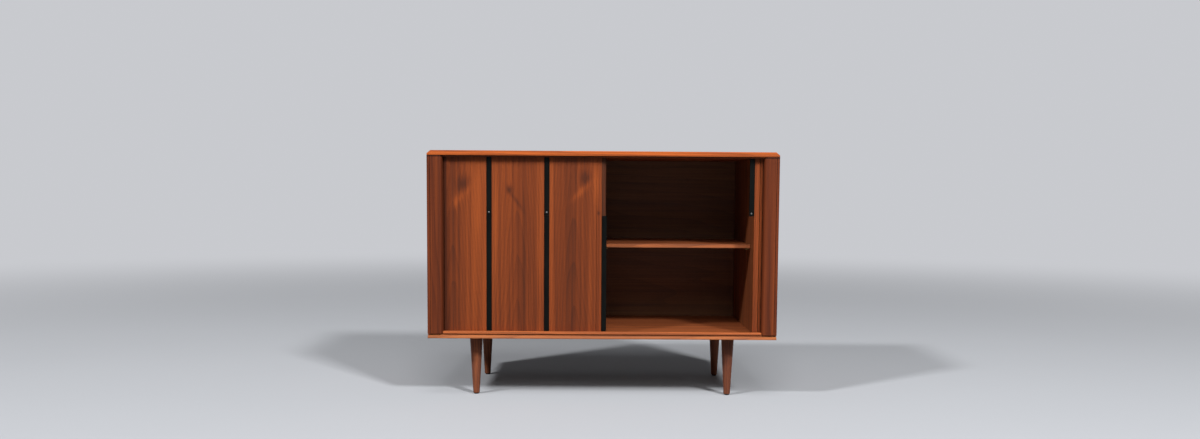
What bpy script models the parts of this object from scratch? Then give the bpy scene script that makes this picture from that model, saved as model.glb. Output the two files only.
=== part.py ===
"""A credenza with two tambour doors, in metres. Width runs along X, the front faces -Y, the floor is Z = 0.

The left door is closed. The right one is open, with its slats round the corner and in the side pocket.
"""

import math

import bmesh
import bpy
from mathutils import Matrix, Vector

# Case
CASE_WIDTH = 1.0
CASE_DEPTH = 0.48
CASE_UNDERSIDE = 0.174
OPENING_HEIGHT = 0.509

# Clearances: between fixed pieces, round bores, and past the end of a cut
FIT_GAP = 0.0003
BORE_GAP = 0.0003
OVERRUN = 0.002

# Top and bottom boards
TOP_THICKNESS = 0.014
TOP_CHAMFER = 0.009
BOTTOM_THICKNESS = 0.013
BOTTOM_EDGE = 0.0026
BOTTOM_BEVEL_RISE = 0.0056
BOTTOM_BEVEL_RUN = 0.0045
BOTTOM_STEP = 0.0065

# Sides and back panel
SIDE_THICKNESS = 0.016
SIDE_EDGE = 0.008
BACK_THICKNESS = 0.006
BACK_REBATE = 0.008
BOARD_EASING = 0.0008

# Front frame
STILE_WIDTH = 0.035
STILE_THICKNESS = 0.02
STILE_ROUNDING = 0.01
ROUNDING_STEPS = 6
LOWER_RAIL_HEIGHT = 0.0065
LOWER_RAIL_SETBACK = 0.002
UPPER_RAIL_HEIGHT = 0.004
UPPER_RAIL_SETBACK = 0.004

# Inner boards
PARTITION_INSET = 0.064
PARTITION_THICKNESS = 0.009
PARTITION_CLEARANCE = 0.002
DIVIDER_THICKNESS = 0.012
DIVIDER_SETBACK = 0.09
SHELF_THICKNESS = 0.011
SHELF_SETBACK = 0.1
SHELF_ABOVE_FLOOR = 0.245
SHELF_SIDE_GAP = 0.0008

# Shelf pins
PIN_RADIUS = 0.0025
PIN_IN_BOARD = 0.006
PIN_UNDER_SHELF = 0.009
PIN_COLLAR_RADIUS = 0.004
PIN_COLLAR_THICKNESS = 0.001
PIN_INSET = 0.045

# Legs, their bolts and inserts, and the glides under them
LEG_TOP_RADIUS = 0.019
LEG_FOOT_RADIUS = 0.0095
LEG_FOOT_ROUNDING = 0.0015
LEG_SIDE_INSET = 0.131
LEG_FRONT_INSET = 0.076
GLIDE_RADIUS = 0.007
GLIDE_THICKNESS = 0.003
GLIDE_EASING = 0.001
GLIDE_STEM_RADIUS = 0.0013
GLIDE_STEM_LENGTH = 0.014
BOLT_RADIUS = 0.004
BOLT_IN_LEG = 0.036
BOLT_IN_BOARD = 0.008
INSERT_RADIUS = 0.0065
INSERT_HEIGHT = 0.009

# Tambour doors
SLAT_PITCH = 0.015
SLAT_GAP = 0.0006
SLAT_THICKNESS = 0.006
SLAT_EASING = 0.0008
CANVAS_THICKNESS = 0.0008
DOOR_PANELS = 3
CURTAIN_SETBACK = 0.022
CLOSED_BAR_AT = 0.004
TAIL_COVER = 0.0035
CORNER_RADIUS = 0.028
POCKET_CLEARANCE = 0.0025
TRACK_END_MARGIN = 0.0075
GROOVE_DEPTH = 0.005
GROOVE_OUTER_PLAY = 0.0012
GROOVE_INNER_PLAY = 0.0006
GROOVE_END_PLAY = 0.002
LIFT_PLAY = 0.0015
CORNER_STEPS = 10

# Black bars between the panels, and the lip and tongue that carry the leading ones
BAR_WIDTH = 0.0134
BAR_PROUD = 0.001
BAR_EASING = 0.0006
UPPER_BAR_LENGTH = 0.169
BAR_END_GAP = 0.0005
LIP_WIDTH = 0.0115
LIP_THICKNESS = 0.003
TONGUE_THICKNESS = 0.0015
TONGUE_DEPTH = 0.0035

# Small screws
DOT_ABOVE_JOINT = 0.0085
DOT_HEAD_RADIUS = 0.0025
DOT_HEAD_HEIGHT = 0.0009
DOT_SHANK_RADIUS = 0.0012
BACK_SCREW_LENGTH = 0.018
BACK_SCREW_RADIUS = 0.0015
BACK_SCREW_HEAD_RADIUS = 0.003
BACK_SCREW_HEAD_HEIGHT = 0.0012
BACK_SCREW_INSET = 0.06

# Places that follow from the sizes above
FRONT = -CASE_DEPTH / 2
BACK = CASE_DEPTH / 2
HALF_WIDTH = CASE_WIDTH / 2
FLOOR = CASE_UNDERSIDE + BOTTOM_THICKNESS
CEILING = FLOOR + OPENING_HEIGHT
TOP = CEILING + TOP_THICKNESS
STILE_OUTER = HALF_WIDTH - SIDE_EDGE
STILE_INNER = STILE_OUTER - STILE_WIDTH
STILE_BACK = FRONT + STILE_THICKNESS
PANEL_FRONT = BACK - BACK_REBATE
SLAT_FACE = FRONT + CURTAIN_SETBACK
CANVAS_LINE = SLAT_FACE + SLAT_THICKNESS
POCKET_LINE = HALF_WIDTH - SIDE_THICKNESS - POCKET_CLEARANCE - SLAT_THICKNESS
PARTITION_FACE = HALF_WIDTH - PARTITION_INSET
CORNER_START = POCKET_LINE - CORNER_RADIUS
CORNER_LENGTH = CORNER_RADIUS * math.pi / 2
CORNER_CENTRE = CANVAS_LINE + CORNER_RADIUS
TRACK_END = CORNER_LENGTH + PANEL_FRONT - TRACK_END_MARGIN - CORNER_CENTRE
SLAT_LOW = FLOOR - GROOVE_DEPTH + FIT_GAP
SLAT_HIGH = CEILING + GROOVE_DEPTH - LIFT_PLAY
BAR_JOINT_LEVEL = CEILING - UPPER_BAR_LENGTH
SHELF_FRONT = FRONT + SHELF_SETBACK
SHELF_LEVEL = FLOOR + SHELF_ABOVE_FLOOR
DIVIDER_FRONT = FRONT + DIVIDER_SETBACK
LEFT, RIGHT = -1, 1

# A door's slots: a panel's slats and its bar fill one share of the door, and the last slot ends behind
# the stile. An open door stops where its leading slat meets the corner, or its tail the track's end
DOOR_RUN = STILE_INNER + CLOSED_BAR_AT
PANEL_SLOTS = math.ceil(DOOR_RUN / DOOR_PANELS / SLAT_PITCH)
LAST_SLOT = math.ceil((DOOR_RUN + TAIL_COVER) / SLAT_PITCH)
CURTAIN_TAIL = LAST_SLOT * SLAT_PITCH + SLAT_PITCH / 2 + GROOVE_END_PLAY
OPEN_BAR_AT = CORNER_START + min(-SLAT_PITCH - SLAT_PITCH / 2, TRACK_END - CURTAIN_TAIL)


def clear_scene():
    for found in list(bpy.data.objects):
        bpy.data.objects.remove(found, do_unlink=True)


def finish(name, colour, roughness, metallic=0.0):
    material = bpy.data.materials.new(name)
    material.use_nodes = True
    shader = material.node_tree.nodes["Principled BSDF"]
    shader.inputs["Base Color"].default_value = (*colour, 1)
    shader.inputs["Roughness"].default_value = roughness
    shader.inputs["Metallic"].default_value = metallic
    material.diffuse_color = (*colour, 1)
    return material


def walnut(name):
    return finish(name, (0.24, 0.075, 0.028), 0.38)


def dark_walnut(name):
    return finish(name, (0.13, 0.045, 0.02), 0.45)


def black_wood(name):
    return finish(name, (0.008, 0.008, 0.007), 0.42)


def steel(name):
    return finish(name, (0.45, 0.46, 0.46), 0.3, 1.0)


def brass(name):
    return finish(name, (0.55, 0.4, 0.16), 0.32, 1.0)


def felt(name):
    return finish(name, (0.012, 0.011, 0.01), 0.95)


def piece(name, shape, material):
    """Closes a bmesh into a named object with its faces turned outwards."""
    bmesh.ops.recalc_face_normals(shape, faces=shape.faces)
    mesh = bpy.data.meshes.new(name)
    shape.to_mesh(mesh)
    shape.free()
    made = bpy.data.objects.new(name, mesh)
    bpy.context.scene.collection.objects.link(made)
    if material:
        mesh.materials.append(material)
    return made


def loft(name, rings, material=None):
    """Closed solid through rings that hold the same number of points."""
    shape = bmesh.new()
    loops = [[shape.verts.new(point) for point in ring] for ring in rings]
    for low, high in zip(loops, loops[1:]):
        for here, after in zip(range(len(low)), [*range(1, len(low)), 0]):
            shape.faces.new((low[here], low[after], high[after], high[here]))
    shape.faces.new(loops[0])
    shape.faces.new(loops[-1])
    return piece(name, shape, material)


def upright(name, outline, low, high, material=None):
    """An outline of X and Y places, raised from low to high."""
    return loft(name, [[(x, y, level) for x, y in outline] for level in (low, high)], material)


def lengthwise(name, outline, left, right, material):
    """An outline of Y and Z places, drawn out from left to right."""
    return loft(name, [[(x, y, z) for y, z in outline] for x in (left, right)], material)


def block(name, low, high, material):
    (x0, y0, z0), (x1, y1, z1) = low, high
    return upright(name, [(x0, y0), (x1, y0), (x1, y1), (x0, y1)], z0, z1, material)


def eased(made, width):
    """Takes the sharpness off a board's edges."""
    easing = made.modifiers.new("eased edges", "BEVEL")
    easing.width = width
    easing.segments = 1
    easing.limit_method = "ANGLE"
    return made


def turned(name, profile, material=None, sides=24):
    """A round piece from radius and height pairs that start and end on the Z axis."""
    shape = bmesh.new()
    points = [shape.verts.new((radius, 0, height)) for radius, height in profile]
    edges = [shape.edges.new(pair) for pair in zip(points, points[1:])]
    bmesh.ops.spin(
        shape,
        geom=points + edges,
        cent=(0, 0, 0),
        axis=(0, 0, 1),
        angle=math.tau,
        steps=sides,
        use_merge=True,
    )
    bmesh.ops.remove_doubles(shape, verts=shape.verts, dist=FIT_GAP / 10)
    made = piece(name, shape, material)
    made.data.polygons.foreach_set("use_smooth", [True] * len(made.data.polygons))
    made.data.set_sharp_from_angle(angle=math.radians(40))
    return made


def rod(name, radius, low, high):
    """A plain round cutter."""
    return turned(name, [(0, low), (radius, low), (radius, high), (0, high)], sides=16)


def cut(target, cutter):
    cutter.hide_render = True
    cutter.display_type = "WIRE"
    boolean = target.modifiers.new("cut by " + cutter.name, "BOOLEAN")
    boolean.operation = "DIFFERENCE"
    boolean.solver = "EXACT"
    boolean.object = cutter


def carried(made, holder):
    """Hangs a piece on the empty that its joint moves, without moving the piece."""
    made.parent = holder
    made.matrix_parent_inverse = Matrix.Translation(holder.location).inverted()


def joint_empty(name, place):
    holder = bpy.data.objects.new(name, None)
    holder.location = place
    holder.empty_display_size = SLAT_PITCH
    bpy.context.scene.collection.objects.link(holder)
    return holder


def on_track(side, distance, along=0.0, forward=0.0):
    """The X and Y place at a distance past the corner's start, moved along and forward of the canvas.

    A negative distance is on the straight front run, where forward points out of the front.
    """
    turn = min(max(distance / CORNER_RADIUS, 0.0), math.pi / 2)
    x = CORNER_START + min(distance, 0.0) + CORNER_RADIUS * math.sin(turn)
    y = CORNER_CENTRE + max(distance - CORNER_LENGTH, 0.0) - CORNER_RADIUS * math.cos(turn)
    x += along * math.cos(turn) + forward * math.sin(turn)
    y += along * math.sin(turn) - forward * math.cos(turn)
    return side * x, y


def slot_distance(side, bar_at, slot):
    """How far past the corner's start the middle of a slot lies. Slot 0 holds the leading bar."""
    return side * bar_at - CORNER_START + slot * SLAT_PITCH


def slat_face(half_width):
    """The front and sides of one slat, as places along and forward of its middle."""
    shoulder = SLAT_THICKNESS - SLAT_EASING
    return [
        (-half_width, 0.0),
        (-half_width, shoulder),
        (-half_width + SLAT_EASING, SLAT_THICKNESS),
        (half_width - SLAT_EASING, SLAT_THICKNESS),
        (half_width, shoulder),
        (half_width, 0.0),
    ]


def slat_group(name, side, bar_at, slots, bare):
    """Slats glued to one canvas. A slot in bare holds canvas alone, where a black bar sits."""
    face, back = [], []
    half_slot = SLAT_PITCH / 2
    for slot in slots:
        middle = slot_distance(side, bar_at, slot)
        if slot not in bare:
            half_slat = half_slot - SLAT_GAP / 2
            face += [on_track(side, middle, along, forward) for along, forward in slat_face(half_slat)]
        start = middle - half_slot + (FIT_GAP / 2 if slot == slots[0] else 0.0)
        end = middle + half_slot - (FIT_GAP / 2 if slot == slots[-1] else 0.0)
        if slot == slots[0] and slot in bare:
            face.append(on_track(side, start))
        if slot == slots[-1]:
            face.append(on_track(side, end))
        back += [on_track(side, place, 0.0, -CANVAS_THICKNESS) for place in (start, middle)]
        if slot == slots[-1]:
            back.append(on_track(side, end, 0.0, -CANVAS_THICKNESS))
    return upright(name, face + back[::-1], SLAT_LOW, SLAT_HIGH, walnut(name))


def bar_outline(side, distance, back):
    """A black bar from above, whose back stands forward of the canvas."""
    half = BAR_WIDTH / 2
    front = SLAT_THICKNESS + BAR_PROUD
    places = [
        (-half, back),
        (-half, front - BAR_EASING),
        (-half + BAR_EASING, front),
        (half - BAR_EASING, front),
        (half, front - BAR_EASING),
        (half, back),
    ]
    return [on_track(side, distance, along, forward) for along, forward in places]


def upper_bar_span():
    return BAR_JOINT_LEVEL + BAR_END_GAP, CEILING - BAR_END_GAP


def lower_bar_span():
    return FLOOR + BAR_END_GAP, BAR_JOINT_LEVEL - BAR_END_GAP


def dot_screw(name, side, distance, bar, back):
    """The small bright screw near the lower end of an upper bar, through its own bore."""
    front = SLAT_THICKNESS + BAR_PROUD
    tip = back + FIT_GAP
    seat = front + FIT_GAP
    shoulder = math.cos(math.pi / 4)
    profile = [
        (0, tip),
        (DOT_SHANK_RADIUS, tip),
        (DOT_SHANK_RADIUS, seat),
        (DOT_HEAD_RADIUS, seat),
        (DOT_HEAD_RADIUS * shoulder, seat + DOT_HEAD_HEIGHT * shoulder),
        (0, seat + DOT_HEAD_HEIGHT),
    ]
    screw = turned(name, profile, steel(name), sides=16)
    bore = rod(name + "_bore", DOT_SHANK_RADIUS + BORE_GAP, back - OVERRUN, front + OVERRUN)
    turn = min(max(distance / CORNER_RADIUS, 0.0), math.pi / 2)
    x, y = on_track(side, distance)
    for made in (screw, bore):
        made.location = (x, y, BAR_JOINT_LEVEL + DOT_ABOVE_JOINT)
        made.rotation_euler = (math.pi / 2, 0, side * turn)
    cut(bar, bore)
    return screw


def panel_bars(name, side, distance):
    """The upper and lower bar between two panels, with the screw in the upper one."""
    outline = bar_outline(side, distance, FIT_GAP)
    upper = upright(name + "_upper_bar", outline, *upper_bar_span(), black_wood(name + "_upper_bar"))
    upright(name + "_lower_bar", outline, *lower_bar_span(), black_wood(name + "_lower_bar"))
    dot_screw(name + "_bar_screw", side, distance, upper, FIT_GAP)


def lead_slat_end(middle):
    """The front, tail end and back of a leading slat, as places along and forward of slot 0."""
    half = (SLAT_PITCH - SLAT_GAP) / 2
    tail = middle + (SLAT_PITCH - FIT_GAP) / 2
    front = [(middle + along, forward) for along, forward in slat_face(half)[1:]]
    return [*front, (tail, 0.0), (tail, -CANVAS_THICKNESS)]


def left_lead(holder):
    """The closed door's leading slat with its recessed lip, and the lower bar that stands on the lip."""
    distance = slot_distance(LEFT, CLOSED_BAR_AT, 0)
    lip_root = SLAT_PITCH / 2 + SLAT_GAP / 2
    lip_edge = SLAT_PITCH / 2 - LIP_WIDTH
    places = [(lip_edge, -CANVAS_THICKNESS), (lip_edge, LIP_THICKNESS), (lip_root, LIP_THICKNESS)]
    places += lead_slat_end(SLAT_PITCH)
    outline = [on_track(LEFT, distance, along, forward) for along, forward in places]
    slat = upright("left_lead_slat", outline, SLAT_LOW, SLAT_HIGH, walnut("left_lead_slat"))
    outline = bar_outline(LEFT, distance, LIP_THICKNESS + FIT_GAP)
    bar = upright("left_pull_bar", outline, *lower_bar_span(), black_wood("left_pull_bar"))
    carried(slat, holder)
    carried(bar, holder)


def right_lead(holder):
    """The open door's leading slat, grooved along its edge, and the upper bar whose tongue it holds."""
    distance = slot_distance(RIGHT, OPEN_BAR_AT, 0)
    edge = SLAT_PITCH / 2 + SLAT_GAP / 2
    groove_low = LIP_THICKNESS
    groove_high = groove_low + TONGUE_THICKNESS + 2 * FIT_GAP
    groove_end = edge + TONGUE_DEPTH + FIT_GAP
    places = [(edge, -CANVAS_THICKNESS), (edge, groove_low), (groove_end, groove_low)]
    places += [(groove_end, groove_high), (edge, groove_high)]
    places += lead_slat_end(SLAT_PITCH)
    outline = [on_track(RIGHT, distance, along, forward) for along, forward in places]
    slat = upright("right_lead_slat", outline, SLAT_LOW, SLAT_HIGH, walnut("right_lead_slat"))
    back = LIP_THICKNESS + FIT_GAP
    tongue_top = back + TONGUE_THICKNESS
    tongue_tip = edge + TONGUE_DEPTH
    tongue = [(BAR_WIDTH / 2, tongue_top), (tongue_tip, tongue_top), (tongue_tip, back)]
    outline = bar_outline(RIGHT, distance, back)[:-1]
    outline += [on_track(RIGHT, distance, along, forward) for along, forward in tongue]
    bar = upright("right_pull_bar", outline, *upper_bar_span(), black_wood("right_pull_bar"))
    screw = dot_screw("right_pull_bar_screw", RIGHT, distance, bar, back)
    for made in (slat, bar, screw):
        carried(made, holder)


def door_curtain(name, side, bar_at):
    """The slats behind the leading one, in panels, with black bars between them."""
    bars = [number * PANEL_SLOTS for number in range(1, DOOR_PANELS)]
    starts = [2, *bars]
    ends = [*bars, LAST_SLOT + 1]
    for number, (start, end) in enumerate(zip(starts, ends), 1):
        slat_group(f"{name}_slats_{number}", side, bar_at, range(start, end), bars)
    for number, slot in enumerate(bars, 1):
        panel_bars(f"{name}_{number}", side, slot_distance(side, bar_at, slot))


def groove_cutter():
    """The U-shaped track of both doors, from pocket to pocket, reaching into both boards."""
    tail = slot_distance(RIGHT, OPEN_BAR_AT, LAST_SLOT) + SLAT_PITCH / 2 + GROOVE_END_PLAY
    corner = [CORNER_LENGTH * step / CORNER_STEPS for step in range(CORNER_STEPS + 1)]
    half = [*corner, tail]
    outer_side = SLAT_THICKNESS + GROOVE_OUTER_PLAY
    inner_side = -CANVAS_THICKNESS - GROOVE_INNER_PLAY
    outer = [on_track(LEFT, place, 0.0, outer_side) for place in half[::-1]]
    outer += [on_track(RIGHT, place, 0.0, outer_side) for place in half]
    inner = [on_track(LEFT, place, 0.0, inner_side) for place in half[::-1]]
    inner += [on_track(RIGHT, place, 0.0, inner_side) for place in half]
    outline = outer + inner[::-1]
    return upright("track_groove", outline, FLOOR - GROOVE_DEPTH, CEILING + GROOVE_DEPTH)


def top_board(groove):
    edge = TOP_THICKNESS - TOP_CHAMFER

    def ring(inset, level):
        left, right, front = -HALF_WIDTH + inset, HALF_WIDTH - inset, FRONT + inset
        return [(left, front, level), (right, front, level), (right, BACK, level), (left, BACK, level)]

    rings = [ring(0, CEILING), ring(0, CEILING + edge), ring(TOP_CHAMFER, TOP)]
    board = loft("top_board", rings, walnut("top_board"))
    cut(board, groove)


def bottom_board(groove, legs):
    bevel_top = CASE_UNDERSIDE + BOTTOM_EDGE + BOTTOM_BEVEL_RISE
    outline = [
        (FRONT, CASE_UNDERSIDE),
        (FRONT, CASE_UNDERSIDE + BOTTOM_EDGE),
        (FRONT + BOTTOM_BEVEL_RUN, bevel_top),
        (FRONT + BOTTOM_STEP, bevel_top),
        (FRONT + BOTTOM_STEP, FLOOR),
        (BACK, FLOOR),
        (BACK, CASE_UNDERSIDE),
    ]
    board = lengthwise("bottom_board", outline, -HALF_WIDTH, HALF_WIDTH, walnut("bottom_board"))
    cut(board, groove)
    for name, x, y in legs:
        low, high = CASE_UNDERSIDE - OVERRUN, CASE_UNDERSIDE + INSERT_HEIGHT + FIT_GAP
        bore = rod(name + "_insert_bore", INSERT_RADIUS + BORE_GAP, low, high)
        bore.location = (x, y, 0)
        cut(board, bore)


def side_board(name, side):
    """A side with a front rebate for its stile and a rear rebate for the back panel."""
    inner = HALF_WIDTH - SIDE_THICKNESS
    rebate = STILE_OUTER
    stile_seat = STILE_BACK + FIT_GAP
    panel_seat = PANEL_FRONT
    outline = [
        (HALF_WIDTH, FRONT),
        (HALF_WIDTH, BACK),
        (rebate, BACK),
        (rebate, panel_seat),
        (inner, panel_seat),
        (inner, stile_seat),
        (rebate, stile_seat),
        (rebate, FRONT),
    ]
    outline = [(side * x, y) for x, y in outline]
    return upright(name, outline, FLOOR + FIT_GAP, CEILING - FIT_GAP, walnut(name))


def stile(name, side):
    """A front upright, rounded back at its inner edge, with its tail in the side's rebate."""
    outer = STILE_OUTER - FIT_GAP
    rounded = []
    for step in range(ROUNDING_STEPS + 1):
        turn = math.pi / 2 * step / ROUNDING_STEPS
        x = STILE_INNER + STILE_ROUNDING * (1 - math.sin(turn))
        y = FRONT + STILE_ROUNDING * (1 - math.cos(turn))
        rounded.append((x, y))
    outline = [(outer, STILE_BACK), (outer, FRONT), *rounded, (STILE_INNER, STILE_BACK)]
    outline = [(side * x, y) for x, y in outline]
    made = upright(name, outline, FLOOR + FIT_GAP, CEILING - FIT_GAP, walnut(name))
    made.data.polygons.foreach_set("use_smooth", [True] * len(made.data.polygons))
    made.data.set_sharp_from_angle(angle=math.radians(30))


def rail(name, setback, low, high):
    reach = STILE_INNER - FIT_GAP
    low_corner = (-reach, FRONT + setback, low)
    eased(block(name, low_corner, (reach, STILE_BACK, high), walnut(name)), BOARD_EASING)


def back_panel(screws):
    reach = STILE_OUTER - FIT_GAP
    front = PANEL_FRONT + FIT_GAP
    low_corner = (-reach, front, FLOOR + FIT_GAP)
    high_corner = (reach, front + BACK_THICKNESS, CEILING - FIT_GAP)
    panel = block("back_panel", low_corner, high_corner, dark_walnut("back_panel"))
    for bore in screws:
        cut(panel, bore)


def back_screws(sides):
    """Four screws through the corners of the back panel into the sides. Returns their bores."""
    face = PANEL_FRONT + FIT_GAP + BACK_THICKNESS + FIT_GAP
    profile = [
        (0, -BACK_SCREW_LENGTH),
        (BACK_SCREW_RADIUS, -BACK_SCREW_LENGTH + 2 * BACK_SCREW_RADIUS),
        (BACK_SCREW_RADIUS, 0),
        (BACK_SCREW_HEAD_RADIUS, 0),
        (BACK_SCREW_HEAD_RADIUS, BACK_SCREW_HEAD_HEIGHT / 2),
        (BACK_SCREW_HEAD_RADIUS / 2, BACK_SCREW_HEAD_HEIGHT),
        (0, BACK_SCREW_HEAD_HEIGHT),
    ]
    middle = HALF_WIDTH - SIDE_THICKNESS + (SIDE_THICKNESS - SIDE_EDGE) / 2
    levels = (("lower", FLOOR + BACK_SCREW_INSET), ("upper", CEILING - BACK_SCREW_INSET))
    bores = []
    for word, side, board in sides:
        for level_word, level in levels:
            name = f"back_screw_{word}_{level_word}"
            screw = turned(name, profile, steel(name), sides=12)
            bore_end = -BACK_SCREW_LENGTH - OVERRUN
            bore = rod(name + "_bore", BACK_SCREW_RADIUS + BORE_GAP, bore_end, OVERRUN)
            for made in (screw, bore):
                made.location = (side * middle, face, level)
                made.rotation_euler = (-math.pi / 2, 0, 0)
            cut(board, bore)
            bores.append(bore)
    return bores


def inner_boards():
    """The partitions that hide the pockets, and the divider. Returns the two boards that hold pins."""
    low, high = FLOOR + FIT_GAP, CEILING - FIT_GAP
    front = CANVAS_LINE + CANVAS_THICKNESS + PARTITION_CLEARANCE
    boards = {}
    for word, side in (("left", LEFT), ("right", RIGHT)):
        name = word + "_partition"
        near, far = sorted((side * PARTITION_FACE, side * (PARTITION_FACE + PARTITION_THICKNESS)))
        board = block(name, (near, front, low), (far, PANEL_FRONT, high), walnut(name))
        boards[word] = eased(board, BOARD_EASING)
    half = DIVIDER_THICKNESS / 2
    low_corner = (-half, DIVIDER_FRONT, low)
    divider = block("centre_divider", low_corner, (half, PANEL_FRONT, high), walnut("centre_divider"))
    return eased(divider, BOARD_EASING), boards["right"]


def shelf():
    left = DIVIDER_THICKNESS / 2 + SHELF_SIDE_GAP
    right = PARTITION_FACE - SHELF_SIDE_GAP
    low_corner = (left, SHELF_FRONT, SHELF_LEVEL)
    high_corner = (right, PANEL_FRONT - SHELF_SIDE_GAP, SHELF_LEVEL + SHELF_THICKNESS)
    eased(block("shelf", low_corner, high_corner, walnut("shelf")), BOARD_EASING)


def shelf_pins(divider, partition):
    """Four brass pins, pushed into the divider and the right partition, that the shelf lies on."""
    profile = [
        (0, -PIN_IN_BOARD),
        (PIN_RADIUS, -PIN_IN_BOARD),
        (PIN_RADIUS, FIT_GAP),
        (PIN_COLLAR_RADIUS, FIT_GAP),
        (PIN_COLLAR_RADIUS, FIT_GAP + PIN_COLLAR_THICKNESS),
        (PIN_RADIUS, FIT_GAP + PIN_COLLAR_THICKNESS),
        (PIN_RADIUS, PIN_UNDER_SHELF),
        (0, PIN_UNDER_SHELF),
    ]
    level = SHELF_LEVEL - FIT_GAP - PIN_COLLAR_RADIUS
    rear = PANEL_FRONT - PIN_INSET
    places = (("front", SHELF_FRONT + PIN_INSET), ("rear", rear))
    boards = (
        ("left", divider, DIVIDER_THICKNESS / 2, math.pi / 2),
        ("right", partition, PARTITION_FACE, -math.pi / 2),
    )
    for word, board, face, turn in boards:
        for place_word, y in places:
            name = f"shelf_pin_{word}_{place_word}"
            pin = turned(name, profile, brass(name), sides=16)
            bore = rod(name + "_bore", PIN_RADIUS + BORE_GAP, -PIN_IN_BOARD - FIT_GAP, OVERRUN)
            for made in (pin, bore):
                made.location = (face, y, level)
                made.rotation_euler = (0, turn, 0)
            cut(board, bore)


def leg_places():
    x = HALF_WIDTH - LEG_SIDE_INSET
    y = -FRONT - LEG_FRONT_INSET
    return (
        ("front_left_leg", -x, -y),
        ("front_right_leg", x, -y),
        ("rear_left_leg", -x, y),
        ("rear_right_leg", x, y),
    )


def leg(name, x, y):
    """A turned, tapered leg with a bore at each end."""
    foot = GLIDE_THICKNESS + FIT_GAP
    head = CASE_UNDERSIDE - FIT_GAP
    stem_bore = GLIDE_STEM_RADIUS + BORE_GAP
    stem_end = foot + GLIDE_STEM_LENGTH + FIT_GAP
    bolt_bore = BOLT_RADIUS + BORE_GAP
    bolt_end = head - BOLT_IN_LEG - FIT_GAP
    profile = [
        (0, stem_end),
        (stem_bore, stem_end),
        (stem_bore, foot),
        (LEG_FOOT_RADIUS - LEG_FOOT_ROUNDING, foot),
        (LEG_FOOT_RADIUS, foot + LEG_FOOT_ROUNDING),
        (LEG_TOP_RADIUS, head),
        (bolt_bore, head),
        (bolt_bore, bolt_end),
        (0, bolt_end),
    ]
    turned(name, profile, walnut(name), sides=32).location = (x, y, 0)


def glide(name, x, y):
    """A dark felt-faced disc under the foot, on a stem that goes up into the leg."""
    stem_top = GLIDE_THICKNESS + GLIDE_STEM_LENGTH
    profile = [
        (0, 0),
        (GLIDE_RADIUS - GLIDE_EASING, 0),
        (GLIDE_RADIUS, GLIDE_EASING),
        (GLIDE_RADIUS, GLIDE_THICKNESS),
        (GLIDE_STEM_RADIUS, GLIDE_THICKNESS),
        (GLIDE_STEM_RADIUS, stem_top),
        (0, stem_top),
    ]
    turned(name, profile, felt(name)).location = (x, y, 0)


def bolt_and_insert(name, x, y):
    """The stud in the leg's head, and the threaded insert that it screws into in the bottom board."""
    low = CASE_UNDERSIDE - BOLT_IN_LEG
    high = CASE_UNDERSIDE + BOLT_IN_BOARD
    profile = [(0, low), (BOLT_RADIUS, low), (BOLT_RADIUS, high), (0, high)]
    turned(name + "_bolt", profile, steel(name + "_bolt"), sides=16).location = (x, y, 0)
    roof = CASE_UNDERSIDE + INSERT_HEIGHT
    bore = BOLT_RADIUS + BORE_GAP
    profile = [
        (0, roof),
        (INSERT_RADIUS, roof),
        (INSERT_RADIUS, CASE_UNDERSIDE),
        (bore, CASE_UNDERSIDE),
        (bore, high + FIT_GAP),
        (0, high + FIT_GAP),
    ]
    turned(name + "_insert", profile, steel(name + "_insert"), sides=16).location = (x, y, 0)


def build():
    clear_scene()
    legs = leg_places()
    groove = groove_cutter()
    top_board(groove)
    bottom_board(groove, legs)
    left = side_board("left_side", LEFT)
    right = side_board("right_side", RIGHT)
    stile("left_stile", LEFT)
    stile("right_stile", RIGHT)
    rail("lower_rail", LOWER_RAIL_SETBACK, FLOOR + FIT_GAP, FLOOR + LOWER_RAIL_HEIGHT)
    rail("upper_rail", UPPER_RAIL_SETBACK, CEILING - UPPER_RAIL_HEIGHT, CEILING - FIT_GAP)
    back_panel(back_screws((("left", LEFT, left), ("right", RIGHT, right))))
    divider, partition = inner_boards()
    shelf()
    shelf_pins(divider, partition)
    middle = (SLAT_LOW + SLAT_HIGH) / 2
    left_lead(joint_empty("left_door_lead", Vector((CLOSED_BAR_AT, CANVAS_LINE, middle))))
    right_lead(joint_empty("right_door_lead", Vector((OPEN_BAR_AT, CANVAS_LINE, middle))))
    door_curtain("left", LEFT, CLOSED_BAR_AT)
    door_curtain("right", RIGHT, OPEN_BAR_AT)
    for name, x, y in legs:
        leg(name, x, y)
        glide(name + "_glide", x, y)
        bolt_and_insert(name, x, y)


build()
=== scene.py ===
"""A low walnut credenza with two tambour doors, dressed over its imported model. Metres, front facing -Y."""

import math

import bmesh
import bpy
from mathutils import Matrix, Vector


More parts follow.
